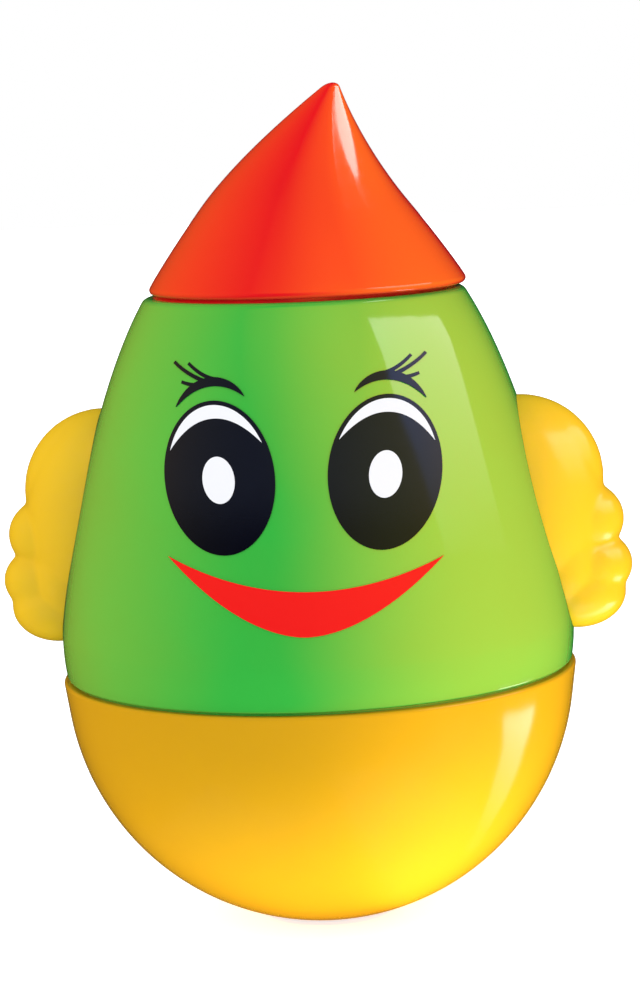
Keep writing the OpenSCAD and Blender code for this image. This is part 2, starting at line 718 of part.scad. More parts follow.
// Mouth: a wide smile between two arcs
lower_power = 1.8;
mouth_end_share = 0.985;
module mouth() {
    lines = [for (i = [0:print_steps])
        let (u = mouth_end_share * (2 * i / print_steps - 1), x = u * mouth_w / 2)
        [[0, mouth_z] + turned([x, -smile_lower * (1 - abs(u) ^ lower_power)], -mouth_turn),
         [0, mouth_z] + turned([x, -smile_upper * (1 - u ^ 2)], -mouth_turn)]];
    color("red") print_layer(lines, print_gap, wide_steps);
}

base_shell();
counterweight();
weight_plate();
plate_screws();
chime_ring();
chime_column();
column_screw();
for (i = [1:chime_count]) {
    chime_rod(i);
    hammer(i);
    hammer_pin(i);
}
body_shell();
cap();
left_wing();
right_wing();
wing_screws();
left_eye();
left_eye_white();
right_eye();
right_eye_white();
left_brow();
right_brow();
mouth();
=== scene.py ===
# %% [markdown]
# # A roly-poly toy
# This lesson dresses a tumbler toy. Its shell is moulded in glossy plastic: a yellow bowl, a green
# bell with a printed face, a red cap that leans over, and two plump yellow wings. Inside are a
# weight and a chime. The solids come from the frame. They are right in size and place, but their
# curves are cut into flat bands, and gloss shows every band. So the shell and the print are
# modelled again here, finer, and the inside is kept.

# %% Load the frame
import json
import math

import bpy
import bmesh
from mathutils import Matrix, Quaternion, Vector

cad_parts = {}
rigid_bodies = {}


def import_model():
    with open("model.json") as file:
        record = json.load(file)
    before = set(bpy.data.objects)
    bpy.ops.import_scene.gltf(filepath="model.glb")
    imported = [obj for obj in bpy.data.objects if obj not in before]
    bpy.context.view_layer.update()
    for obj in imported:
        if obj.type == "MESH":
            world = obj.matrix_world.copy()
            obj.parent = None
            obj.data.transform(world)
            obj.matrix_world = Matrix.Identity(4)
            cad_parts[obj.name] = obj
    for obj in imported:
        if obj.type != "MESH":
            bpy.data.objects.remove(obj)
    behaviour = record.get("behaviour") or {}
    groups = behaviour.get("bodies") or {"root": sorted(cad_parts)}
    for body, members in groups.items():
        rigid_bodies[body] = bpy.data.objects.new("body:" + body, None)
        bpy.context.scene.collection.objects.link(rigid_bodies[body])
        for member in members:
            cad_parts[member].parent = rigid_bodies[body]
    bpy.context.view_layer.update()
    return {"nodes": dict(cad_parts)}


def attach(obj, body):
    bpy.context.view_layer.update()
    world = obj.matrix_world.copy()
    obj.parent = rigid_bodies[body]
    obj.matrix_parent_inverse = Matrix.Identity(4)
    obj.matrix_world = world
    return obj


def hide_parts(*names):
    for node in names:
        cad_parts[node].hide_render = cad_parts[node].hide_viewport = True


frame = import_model()
scene = bpy.context.scene
scene.view_settings.view_transform = "Standard"
MM = 0.001
print("nodes:", len(frame["nodes"]))

# %% [markdown]
# ## The camera
# The toy was photographed from a little above and a little to the right, with a long lens, and the
# camera was not quite level. A long lens keeps the base from swelling towards us. The camera comes
# first, so that each later step can be checked.

# %% Set up the camera
camera_at = Vector((58.3, -605.0, 164.7)) * MM
looks_at = Vector((1.78, -3.03, 84.24)) * MM
camera_roll = math.radians(-2.49)
camera_data = bpy.data.cameras.new("camera")
camera_data.lens = 114.64
camera_data.sensor_width = 36
camera = bpy.data.objects.new("camera", camera_data)
scene.collection.objects.link(camera)
camera.location = camera_at
camera.rotation_mode = "QUATERNION"
aim = (looks_at - camera_at).to_track_quat("-Z", "Y")
camera.rotation_quaternion = aim @ Quaternion((0, 0, 1), camera_roll)
scene.camera = camera
print("camera is", round((camera_at - looks_at).length, 3), "m from the toy")

# %% [markdown]
# ## A few habits
# Blender's operators act on whatever is selected, and the loaded nodes start out selected. So each
# new piece begins by leaving edit mode and clearing the selection. Most pieces here are turned or
# flat, so one helper draws a line: a plane is merged to a single point, and that point is extruded
# from place to place, as one would click it.

# %% Helpers for modelling
turn_steps = 192
crease_angle = 35


def clear_selection():
    if bpy.context.object and bpy.context.object.mode != "OBJECT":
        bpy.ops.object.mode_set(mode="OBJECT")
    bpy.ops.object.select_all(action="DESELECT")


def pick(piece):
    clear_selection()
    piece.select_set(True)
    bpy.context.view_layer.objects.active = piece
    return piece


def draw_line(name, points):
    clear_selection()
    bpy.ops.mesh.primitive_plane_add(size=MM)
    piece = bpy.context.object
    piece.name = name
    bpy.ops.object.mode_set(mode="EDIT")
    bpy.ops.mesh.select_mode(type="VERT")
    bpy.ops.mesh.select_all(action="SELECT")
    bpy.ops.mesh.merge(type="CENTER")
    bpy.ops.transform.translate(value=points[0])
    for here, there in zip(points, points[1:]):
        bpy.ops.mesh.extrude_region_move(TRANSFORM_OT_translate={"value": there - here})
    return piece


def turn_on_axis(piece, steps=turn_steps):
    bpy.ops.mesh.select_all(action="SELECT")
    bpy.ops.mesh.spin(steps=steps, angle=math.tau, center=(0, 0, 0), axis=(0, 0, 1))
    bpy.ops.mesh.select_all(action="SELECT")
    bpy.ops.mesh.remove_doubles(threshold=0.001 * MM)
    bpy.ops.mesh.normals_make_consistent(inside=False)
    bpy.ops.object.mode_set(mode="OBJECT")
    return piece


def smooth(piece, angle=crease_angle):
    pick(piece)
    bpy.ops.object.shade_smooth_by_angle(angle=math.radians(angle))
    return piece


def apply_modifiers(piece):
    pick(piece)
    for modifier in list(piece.modifiers):
        bpy.ops.object.modifier_apply(modifier=modifier.name)
    return piece


def join(pieces, name):
    pick(pieces[0])
    for piece in pieces:
        piece.select_set(True)
    bpy.ops.object.join()
    pieces[0].name = name
    return pieces[0]


def arc(centre, r, start, end, steps):
    angles = [math.radians(start + (end - start) * i / steps) for i in range(steps + 1)]
    return [(centre[0] + r * math.cos(a), centre[1] + r * math.sin(a)) for a in angles]


def on_section(points):
    return [Vector((x, 0, z)) * MM for x, z in points]


# %% [markdown]
# ## The base
# The base is a bowl, moulded in one piece, that flares a little towards the rounded lip at the
# seam. On the mould it is a turned shape, so it is drawn as half a section, from the foot up the
# outside, over the lip and down the inside, and turned round the axis. A finely cut sphere would do
# for the bowl, but not for the flare: that is the straight line which touches both the bowl and the
# round of the lip.

# %% Turn the base
base_r, base_wall = 50.0, 2.5
foot_r, foot_flat_r, foot_blend = 9.0, 8.6, 0.5
lip_proud, lip_round, lip_flat_r = 0.4, 0.6, 48.4
seat_gap, seat_h = 0.4, 7.2
seam_z = math.sqrt(base_r ** 2 - foot_r ** 2)
bowl_r = base_r - base_wall
seat_r = bowl_r - seat_gap
foot_angle = math.degrees(math.atan2(-seam_z, foot_r))
lip_at = (base_r + lip_proud - lip_round, seam_z - lip_round)
lip_distance, lip_dip = math.hypot(lip_at[0], lip_round), math.atan2(lip_round, lip_at[0])
flare_angle = -math.degrees(math.acos((base_r - lip_round) / lip_distance) + lip_dip)
seat_angle = math.degrees(math.asin(-seat_h / bowl_r))
base_section = (
    [(0, 0), (5, 0), (foot_flat_r, 0)]
    + arc((0, seam_z), base_r, foot_angle + foot_blend, flare_angle, 60)
    + arc(lip_at, lip_round, flare_angle, 90, 10)
    + [(lip_flat_r, seam_z), (seat_r, seam_z), (seat_r, seam_z - seat_h)]
    + arc((0, seam_z), bowl_r, seat_angle, -90, 40)
)
bowl = turn_on_axis(draw_line("bowl", on_section(base_section)))
print("bowl:", len(bowl.data.polygons), "faces, flares by", round(-flare_angle, 1), "degrees")

# %% [markdown]
# Three posts in the bowl hold the plate over the weight. A post is a cylinder with a blind hole:
# its top face is inset to the hole's edge and extruded down. Its foot is bisected along the slope
# of the bowl, so that it ends in the wall.

# %% Add the posts
def post_with_hole(name, r, hole_r, length, depth):
    clear_selection()
    bpy.ops.mesh.primitive_cylinder_add(vertices=48, radius=r * MM, depth=length * MM)
    piece = bpy.context.object
    piece.name = name
    bpy.ops.object.mode_set(mode="EDIT")
    bpy.ops.mesh.select_mode(type="FACE")
    bpy.ops.mesh.select_all(action="DESELECT")
    shape = bmesh.from_edit_mesh(piece.data)
    for face in shape.faces:
        face.select = face.normal.z > 0.9
    bmesh.update_edit_mesh(piece.data)
    bpy.ops.mesh.inset(thickness=(r - hole_r) * MM)
    bpy.ops.mesh.extrude_region_move(TRANSFORM_OT_translate={"value": (0, 0, -depth * MM)})
    bpy.ops.object.mode_set(mode="OBJECT")
    return piece


post_r, pilot_r, pilot_deep = 4.2, 1.35, 6
post_top, post_low, post_ring_r = 15.78, 2.0, 24.0
mid_wall_r = base_r - base_wall / 2
posts = []
for i in range(3):
    post = post_with_hole("post", post_r, pilot_r, post_top - post_low, pilot_deep)
    a = math.radians(90 + 120 * i)
    axis_at = Vector((post_ring_r * math.cos(a), post_ring_r * math.sin(a), 0))
    post.location = (axis_at + Vector((0, 0, (post_top + post_low) / 2))) * MM
    pick(post)
    bpy.ops.object.transform_apply(location=True, rotation=True, scale=True)
    slope = axis_at - Vector((0, 0, math.sqrt(mid_wall_r ** 2 - post_ring_r ** 2)))
    bpy.ops.object.mode_set(mode="EDIT")
    bpy.ops.mesh.select_all(action="SELECT")
    cut_at = (slope + Vector((0, 0, seam_z))) * MM
    bpy.ops.mesh.bisect(plane_co=cut_at, plane_no=slope.normalized(), use_fill=True, clear_outer=True)
    bpy.ops.object.mode_set(mode="OBJECT")
    posts.append(post)
base = smooth(join([bowl] + posts, "base"))
print("base:", len(base.data.polygons), "faces")

# %% [markdown]
# ## The body
# The body is a bell that plugs into the base. Its flank is one long curve, upright at the seam and
# leaning in towards the shoulder. Four control points steer that curve, so the gloss runs over it
# without a ripple.

# %% Turn the body
def curve(points, share):
    points = [Vector(p) for p in points]
    while len(points) > 1:
        points = [a.lerp(b, share) for a, b in zip(points, points[1:])]
    return points[0]


body_h, body_r, body_wall = 74.0, 50.27, 2.2
shoulder_r, shoulder_round = 31.0, 2.0
edge_in, edge_up, edge_round = 0.25, 1.1, 0.6
groove_in, groove_h = 1.1, 0.5
spigot_r, spigot_wall, spigot_deep = 46.9, 2, 7
bead_down, bead_half, bead_proud = 3.5, 0.5, 0.25
opening_r = 25.2
# where the curve's control points lie: shares of the body's height, and how far out the upper one is
bulge_up, skirt_up, low_up, high_up = 0.109, 0.04, 0.1835, 0.728
high_out = 0.655
edge_r, edge_z = base_r - edge_in, seam_z + edge_up
bulge_z, shoulder_z = seam_z + bulge_up * body_h, seam_z + body_h
skirt_controls = [(edge_r, edge_z), (body_r, edge_z + skirt_up * body_h), (body_r, bulge_z)]
high_control = (shoulder_r + high_out * (body_r - shoulder_r), seam_z + high_up * body_h)
flank_controls = [
    (body_r, bulge_z), (body_r, seam_z + low_up * body_h), high_control, (shoulder_r, shoulder_z)]
skirt = [tuple(curve(skirt_controls, i / 12)) for i in range(13)]
flank = [tuple(curve(flank_controls, i / 90)) for i in range(1, 91)]
flank_lean = math.degrees(math.atan2(high_control[0] - shoulder_r, shoulder_z - high_control[1]))
shoulder_in = shoulder_round * math.tan(math.radians(90 - flank_lean) / 2)
shoulder_at = (shoulder_r - shoulder_in, shoulder_z - shoulder_round)
shoulder = arc(shoulder_at, shoulder_round, flank_lean, 90, 12)
flank_top = shoulder[0][1] - 0.3
outside = skirt + [p for p in flank if p[1] < flank_top] + shoulder
ceiling_z = shoulder_z - body_wall
inside_low, inside_top = edge_z + 2.5, ceiling_z - 0.5
inside = [(r - body_wall, z) for r, z in outside if inside_low < z < inside_top]
spigot_in, spigot_low, bead_z = spigot_r - spigot_wall, seam_z - spigot_deep, seam_z - bead_down
groove_r = edge_r - groove_in
body_section = (
    [(spigot_in, spigot_low), (spigot_r, spigot_low), (spigot_r, bead_z - bead_half),
     (spigot_r + bead_proud, bead_z), (spigot_r, bead_z + bead_half), (spigot_r, seam_z),
     (groove_r, seam_z), (groove_r, seam_z + groove_h)]
    + arc((edge_r - edge_round, edge_z), edge_round, -90, 0, 6) + outside[1:]
    + [(opening_r, shoulder_z), (opening_r, ceiling_z), (inside[-1][0] - 0.4, ceiling_z)]
    + inside[::-1]
    + [(spigot_in, seam_z), (spigot_in, spigot_low)]
)
bell = turn_on_axis(draw_line("bell", on_section(body_section)))
print("bell:", len(bell.data.polygons), "faces, leans", round(flank_lean, 1), "degrees at the shoulder")

# %% [markdown]
# Inside the bell, each wing is held by two screws. Each screw goes through a pad, which is the same
# post shape lying on its side against the wall.

# %% Add the pads for the wings' screws
def body_radius(z):
    table = [p for p in outside if p[1] <= shoulder[0][1]]
    for low, high in zip(table, table[1:]):
        if low[1] <= z <= high[1]:
            return low[0] + (high[0] - low[0]) * (z - low[1]) / (high[1] - low[1])
    return table[-1][0]


wing_h, wing_low = 45.8, seam_z + 6.5
screws_up = (0.3, 0.68)
pad_r, pad_long, pad_sink, screw_hole_r, screw_hole_deep = 4, 3, 0.6, 1.5, 2
pads = []
for share in screws_up:
    for side in (-1, 1):
        z = wing_low + share * wing_h
        pad_in = body_radius(z) - body_wall - pad_long
        pad_out = body_radius(z) - body_wall / 2 - pad_sink
        pad = post_with_hole("pad", pad_r, screw_hole_r, pad_out - pad_in, screw_hole_deep)
        pad.rotation_euler = (0, -side * math.pi / 2, 0)
        pad.location = Vector((side * (pad_in + pad_out) / 2, 0, z)) * MM
        pick(pad)
        bpy.ops.object.transform_apply(location=True, rotation=True, scale=True)
        pads.append(pad)
body = smooth(join([bell] + pads, "body"))
print("body:", len(body.data.polygons), "faces")

# %% [markdown]
# ## The cap
# The cap is a swollen cone with a small round tip and a rolled rim, and it bends over to the right
# as it rises. It is turned straight first, because a turned shape is easy to draw. Then its rings
# are pushed sideways one by one: all of them a little, and those above a share of the height more
# and more towards the tip.

# %% Turn the cap and bend it
rim_gap, cap_h = 0.6, 39.9
rim_z, cone_h = shoulder_z + rim_gap, cap_h - rim_gap
cap_r, cap_wall, rim_round, tip_r = 31.7, 2.0, 0.9, 2.4
cap_swell, swell_power = 1.0, 0.8
cap_aside, cap_lean, bend_from, bend_power = 0.8, 6.5, 0.42, 1.8
plug_gap, plug_wall, plug_deep = 0.2, 2, 6
hollow_share, land_share = 0.95, 0.9
ring_reach = 0.001
tip_up = cone_h - tip_r
cone_lean = math.atan2(cap_r, tip_up) - math.asin(tip_r / math.hypot(cap_r, tip_up))
rim_in = cap_r - rim_round / math.tan((math.pi / 2 - cone_lean) / 2)
rim = arc((rim_in, rim_z + rim_round), rim_round, -90, math.degrees(cone_lean), 12)
tip = arc((0, rim_z + cone_h - tip_r), tip_r, math.degrees(cone_lean), 90, 16)


def flank_line(z_from, z_to, steps, inset):
    line = []
    for i in range(steps + 1):
        z = z_from + (z_to - z_from) * i / steps
        share = min(max((z - rim[-1][1]) / (tip[0][1] - rim[-1][1]), 0), 1)
        swelling = cap_swell * math.sin(math.pi * share ** swell_power)
        r = cap_r - (z - rim_z) * math.tan(cone_lean) + swelling
        line.append((r - inset, z))
    return line


flank_wall = cap_wall / math.cos(cone_lean)
hollow_top = rim_z + hollow_share * (cap_r - flank_wall) / math.tan(cone_lean)
plug_r, plug_low = opening_r - plug_gap, shoulder_z - plug_deep
plug_in = plug_r - plug_wall
land_r = plug_r + land_share * (rim_in - plug_r)
cap_section = (
    [(0, hollow_top)] + flank_line(hollow_top, rim_z + cap_wall, 30, flank_wall)
    + [(plug_in, rim_z + cap_wall), (plug_in, plug_low), (plug_r, plug_low), (plug_r, shoulder_z),
       (land_r, shoulder_z), (land_r, rim_z)]
    + rim + flank_line(rim[-1][1], tip[0][1], 60, 0)[1:-1] + tip
)
cap = turn_on_axis(draw_line("cap", on_section(cap_section)))
rings = sorted({round(z, 4) for r, z in cap_section if z >= rim_z})
pick(cap)
bpy.ops.object.mode_set(mode="EDIT")
bpy.ops.mesh.select_mode(type="VERT")
for ring_z in rings:
    shape = bmesh.from_edit_mesh(cap.data)
    for vertex in shape.verts:
        vertex.select = abs(vertex.co.z / MM - ring_z) < ring_reach
    shape.select_flush_mode()
    bmesh.update_edit_mesh(cap.data)
    bend = max(0, ((ring_z - rim_z) / cone_h - bend_from) / (1 - bend_from))
    push = cap_aside + cap_lean * bend ** bend_power
    bpy.ops.transform.translate(value=(push * MM, 0, 0))
bpy.ops.object.mode_set(mode="OBJECT")
smooth(cap)
print("cap:", len(cap.data.polygons), "faces,", len(rings), "rings pushed over")

# %% [markdown]
# ## The wings
# A wing is a plump mitten: one large lobe on top, three fingers below it and a thick palm where it
# meets the body. Such soft forms are like clay. Balls are pressed together, a voxel remesh turns
# them into one skin, and smoothing rounds the grooves between them. The skin is then cut to the
# body with a boolean. The left wing is a mirror copy.

# %% Press the lobes together
root_out, root_slant = 11.9, 0.347
wing_root = base_r + root_out - root_slant * wing_h
# each ball: how far out and up from the wing's root, then half its width, depth and height
lobes = {
    "top": (-5.2, 29.8, 16.0, 9.5, 16.0),
    "palm": (-5.0, 23.2, 15.9, 13.2, 22.6),
    "knuckles": (1.5, 13.0, 9.5, 10.2, 12.5),
    "upper finger": (6.3, 21.3, 8.2, 7.6, 7.2),
    "middle finger": (7.5, 12.3, 8.4, 7.6, 6.6),
    "lower finger": (5.2, 7.0, 9.3, 8.6, 7.0)}
balls = []
for out, up, half_w, half_d, half_h in lobes.values():
    clear_selection()
    bpy.ops.mesh.primitive_uv_sphere_add(
        segments=48, ring_count=24, radius=1, scale=(half_w * MM, half_d * MM, half_h * MM),
        location=((wing_root + out) * MM, 0, (wing_low + up) * MM))
    balls.append(bpy.context.object)
right_wing = join(balls, "right_wing_skin")
pick(right_wing)
bpy.ops.object.transform_apply(location=True, rotation=True, scale=True)
print("right wing:", len(balls), "balls")

# %% Make one skin and smooth it
remesh = right_wing.modifiers.new("one_skin", "REMESH")
remesh.mode = "VOXEL"
remesh.voxel_size = 0.45 * MM
soften = right_wing.modifiers.new("soften", "SMOOTH")
soften.factor = 0.5
soften.iterations = 24
swell = right_wing.modifiers.new("swell", "DISPLACE")
swell.strength = 0.2 * MM
swell.mid_level = 0
apply_modifiers(right_wing)
print("right wing:", len(right_wing.data.polygons), "faces")

# %% Cut the wing to the body
wing_gap = 0.05
cutter_flank = [(r + wing_gap, z) for r, z in [(edge_r, seam_z)] + outside]
cutter_section = [(0, seam_z)] + cutter_flank + [(0, shoulder_z)]
cutter = turn_on_axis(draw_line("cutter", on_section(cutter_section)), 160)
cut = right_wing.modifiers.new("cut_to_body", "BOOLEAN")
cut.operation = "DIFFERENCE"
cut.solver = "EXACT"
cut.object = cutter
apply_modifiers(right_wing)
bpy.data.objects.remove(cutter)
smooth(right_wing, 40)
print("right wing:", len(right_wing.data.polygons), "faces after the cut")

# %% Mirror the wing
pick(right_wing)
bpy.ops.object.duplicate()
left_wing = bpy.context.object
left_wing.name = "left_wing_skin"
bpy.ops.object.mode_set(mode="EDIT")
bpy.ops.mesh.select_all(action="SELECT")
bpy.ops.transform.mirror(constraint_axis=(True, False, False), center_override=(0, 0, 0))
bpy.ops.mesh.normals_make_consistent(inside=False)
bpy.ops.object.mode_set(mode="OBJECT")
print("left wing from x =", round(min(v.co.x for v in left_wing.data.vertices) / MM, 1), "mm")

# %% [markdown]
# ## The printed face
# The eyes, brows and mouth are ink, printed on the finished body. Each shape is drawn flat in front
# of the face, filled, and cut into small cells, so that it can bend. A shrinkwrap then lays it on
# the body, and solidify gives it the thickness of a thick coat of ink. An image would be quicker,
# but its edges would blur close up.

# %% Helper for a layer of print
face_turn = math.radians(3)
drawn_at, cell = -70, 1.0
ink_thick, on_body, on_ink = 0.12, 0.05, 0.22


def print_layer(name, outlines, lift):
    parts = []
    for outline in outlines:
        points = [Vector((x, drawn_at, seam_z + z)) * MM for x, z in outline]
        part = draw_line(name, points)
        bpy.ops.mesh.select_all(action="SELECT")
        bpy.ops.mesh.edge_face_add()
        for axis, normal in ((0, (1, 0, 0)), (1, (0, 0, 1))):
            low, high = min(p[axis] for p in outline), max(p[axis] for p in outline)
            cuts = int((high - low) / cell)
            for i in range(1, cuts + 1):
                at = low + i * (high - low) / (cuts + 1)
                spot = (at * MM, 0, 0) if axis == 0 else (0, 0, (seam_z + at) * MM)
                bpy.ops.mesh.select_all(action="SELECT")
                bpy.ops.mesh.bisect(plane_co=spot, plane_no=normal)
        bpy.ops.object.mode_set(mode="OBJECT")
        parts.append(part)
    layer = join(parts, name) if len(parts) > 1 else parts[0]
    if sum(face.normal.y * face.area for face in layer.data.polygons) > 0:
        pick(layer)
        bpy.ops.object.mode_set(mode="EDIT")
        bpy.ops.mesh.select_all(action="SELECT")
        bpy.ops.mesh.flip_normals()
        bpy.ops.object.mode_set(mode="OBJECT")
    layer.rotation_euler = (0, 0, face_turn)
    lay_on = layer.modifiers.new("lay_on", "SHRINKWRAP")
    lay_on.target = body
    lay_on.wrap_method = "PROJECT"
    lay_on.wrap_mode = "ABOVE_SURFACE"
    lay_on.use_project_y = True
    lay_on.use_positive_direction = True
    lay_on.use_negative_direction = False
    lay_on.offset = lift * MM
    thicken = layer.modifiers.new("thicken", "SOLIDIFY")
    thicken.thickness = ink_thick * MM
    thicken.offset = 1
    apply_modifiers(layer)
    bpy.ops.object.transform_apply(location=True, rotation=True, scale=True)
    smooth(layer, 30)
    print(name + ":", len(layer.data.polygons), "faces")
    return layer


def turned(x, z, angle):
    c, s = math.cos(math.radians(angle)), math.sin(math.radians(angle))
    return (x * c - z * s, x * s + z * c)


def placed(points, centre, lean):
    leaning = [turned(x, z, lean) for x, z in points]
    return [(centre[0] + x, centre[1] + z) for x, z in leaning]


# %% Print the eyes
eye_w, eye_h, eye_apart, eye_z, eye_lean, eye_line = 20.8, 27.6, 30.4, 43.1, 5.0, 0.8
white_deep, white_power, tip_angle = 2.4, 2.05, math.radians(25)
glint_w, glint_h, glint_down = 6.0, 8.4, 0.4


def oval(w, h, steps=96):
    angles = [math.tau * i / steps for i in range(steps)]
    return [(w / 2 * math.cos(a), h / 2 * math.sin(a)) for a in angles]


def crescent(w, h, steps=60):
    tip_x, tip_z = w / 2 * math.cos(tip_angle), h / 2 * math.sin(tip_angle)
    sweep = math.pi - 2 * tip_angle
    angles = [tip_angle + sweep * i / steps for i in range(steps + 1)]
    top = [(w / 2 * math.cos(a), h / 2 * math.sin(a)) for a in angles]
    rise = h / 2 - white_deep - tip_z
    shares = [2 * i / steps - 1 for i in range(1, steps)]
    low = [(tip_x * u, tip_z + rise * (1 - abs(u) ** white_power)) for u in shares]
    return top + low


eyes, whites = {}, {}
for side, word in ((-1, "left"), (1, "right")):
    centre, lean = (side * eye_apart / 2, eye_z), -side * eye_lean
    eyes[word] = print_layer(word + "_eye_ink", [placed(oval(eye_w, eye_h), centre, lean)], on_body)
    inner_w, inner_h = eye_w - 2 * eye_line, eye_h - 2 * eye_line
    glint_at = (centre[0], centre[1] - glint_down)
    whites[word] = print_layer(word + "_eye_white_ink", [
        placed(crescent(inner_w, inner_h), centre, lean),
        placed(oval(glint_w, glint_h, 64), glint_at, lean)], on_ink)

# %% Print the brows
brow_w, brow_at = 13.05, (10.1, 57.65)
leaf_thick, leaf_power, leaf_least = 1.65, 0.7, 0.06
flick_thick, flick_taper = 0.8, 0.25
nearby = 0.01
brow_bend = [(0, 0), (0.24, 0.28), (0.7, 0.295), (1, -0.157)]
flick_bends = [
    [(0.39, 0.226), (0.6, 0.253), (0.81, 0.447)],
    [(0.49, 0.18), (0.81, 0.271), (1.015, 0.457)],
    [(0.6, 0.146), (0.79, 0.143), (0.916, 0.19)]]


def stroke(bend, widths, steps=32):
    points = [(brow_at[0] + brow_w * x, brow_at[1] + brow_w * z) for x, z in bend]
    upper, lower = [], []
    for i in range(steps + 1):
        share = i / steps
        here = curve(points, share)
        ahead, behind = curve(points, min(share + nearby, 1)), curve(points, max(share - nearby, 0))
        along = (ahead - behind).normalized()
        across = Vector((-along.y, along.x)) * widths(share) / 2
        upper.append(tuple(here + across))
        lower.append(tuple(here - across))
    return lower + upper[::-1]


def leaf_width(share):
    return max(leaf_thick * math.sin(math.pi * share) ** leaf_power, leaf_least)


def flick_width(share):
    return flick_thick * (1 - flick_taper * share)


right_strokes = [stroke(brow_bend, leaf_width)]
right_strokes += [stroke(bend, flick_width) for bend in flick_bends]
left_strokes = [[(-x, z) for x, z in outline][::-1] for outline in right_strokes]
brows = {"right": print_layer("right_brow_ink", right_strokes, on_body),
         "left": print_layer("left_brow_ink", left_strokes, on_body)}

# %% Print the mouth
mouth_w, mouth_z, mouth_turn = 50.6, 28.05, -1.9
smile_upper, smile_lower, smile_power = 5.4, 13.5, 1.8
lip_steps = 80
shares = [2 * i / lip_steps - 1 for i in range(lip_steps + 1)]
upper_lip = [(u * mouth_w / 2, -smile_upper * (1 - u * u)) for u in shares]
lower_lip = [(u * mouth_w / 2, -smile_lower * (1 - abs(u) ** smile_power)) for u in shares[1:-1]]
lips = placed(lower_lip + upper_lip[::-1], (0, mouth_z), mouth_turn)
smile = print_layer("mouth_ink", [lips], on_body)

# %% [markdown]
# ## The finish of the plastic
# Moulded plastic looks like one flat colour, but it isn't: the pigment drifts a little, the gloss
# is never quite even, and the skin has a faint orange peel. All the shell's colours share that, so
# it is one node group, and each material gives it its own two colours. The Principled shader itself
# stays in each material.

# %% Helpers for nodes
def add_socket(group, name, way, kind, value=None):
    socket = group.interface.new_socket(name=name, in_out=way, socket_type=kind)
    if value is not None:
        socket.default_value = value
    return socket


def add_node(nodes, kind, values):
    node = nodes.new(kind)
    for name, value in values.items():
        node.inputs[name].default_value = value
    return node


def add_math(nodes, operation):
    node = nodes.new("ShaderNodeMath")
    node.operation = operation
    return node


def add_colour_mix(nodes):
    node = nodes.new("ShaderNodeMix")
    node.data_type = "RGBA"
    return node


def new_material(name):
    material = bpy.data.materials.new(name)
    material.use_nodes = True
    return material, material.node_tree.nodes, material.node_tree.links


# %% Node group for the moulded skin
def moulded_skin_group():
    group = bpy.data.node_groups.new("moulded_skin", "ShaderNodeTree")
    add_socket(group, "Colour", "INPUT", "NodeSocketColor", (0.5, 0.5, 0.5, 1))
    add_socket(group, "Drift colour", "INPUT", "NodeSocketColor", (0.4, 0.4, 0.4, 1))
    add_socket(group, "Gloss low", "INPUT", "NodeSocketFloat", 0.1)
    add_socket(group, "Gloss high", "INPUT", "NodeSocketFloat", 0.2)
    add_socket(group, "Colour", "OUTPUT", "NodeSocketColor")
    add_socket(group, "Roughness", "OUTPUT", "NodeSocketFloat")
    add_socket(group, "Peel", "OUTPUT", "NodeSocketFloat")
    nodes, links = group.nodes, group.links
    given, put_out = nodes.new("NodeGroupInput"), nodes.new("NodeGroupOutput")
    place = nodes.new("ShaderNodeTexCoord")
    drift = add_node(nodes, "ShaderNodeTexNoise", {"Scale": 45, "Detail": 3})
    specks = add_node(nodes, "ShaderNodeTexNoise", {"Scale": 700, "Detail": 4})
    peel = add_node(nodes, "ShaderNodeTexNoise", {"Scale": 260, "Detail": 1})
    for noise in (drift, specks, peel):
        links.new(place.outputs["Object"], noise.inputs["Vector"])
    spread = add_node(nodes, "ShaderNodeMapRange", {"From Min": 0.35, "From Max": 0.7})
    links.new(drift.outputs["Fac"], spread.inputs["Value"])
    mix = add_colour_mix(nodes)
    links.new(spread.outputs["Result"], mix.inputs["Factor"])
    links.new(given.outputs["Colour"], mix.inputs["A"])
    links.new(given.outputs["Drift colour"], mix.inputs["B"])
    gloss = add_node(nodes, "ShaderNodeMapRange", {"From Min": 0.3, "From Max": 0.7})
    links.new(specks.outputs["Fac"], gloss.inputs["Value"])
    links.new(given.outputs["Gloss low"], gloss.inputs["To Min"])
    links.new(given.outputs["Gloss high"], gloss.inputs["To Max"])
    links.new(mix.outputs["Result"], put_out.inputs["Colour"])
    links.new(gloss.outputs["Result"], put_out.inputs["Roughness"])
    links.new(peel.outputs["Fac"], put_out.inputs["Peel"])
    return group


moulded_skin = moulded_skin_group()
print("group:", moulded_skin.name, "with", len(moulded_skin.nodes), "nodes")
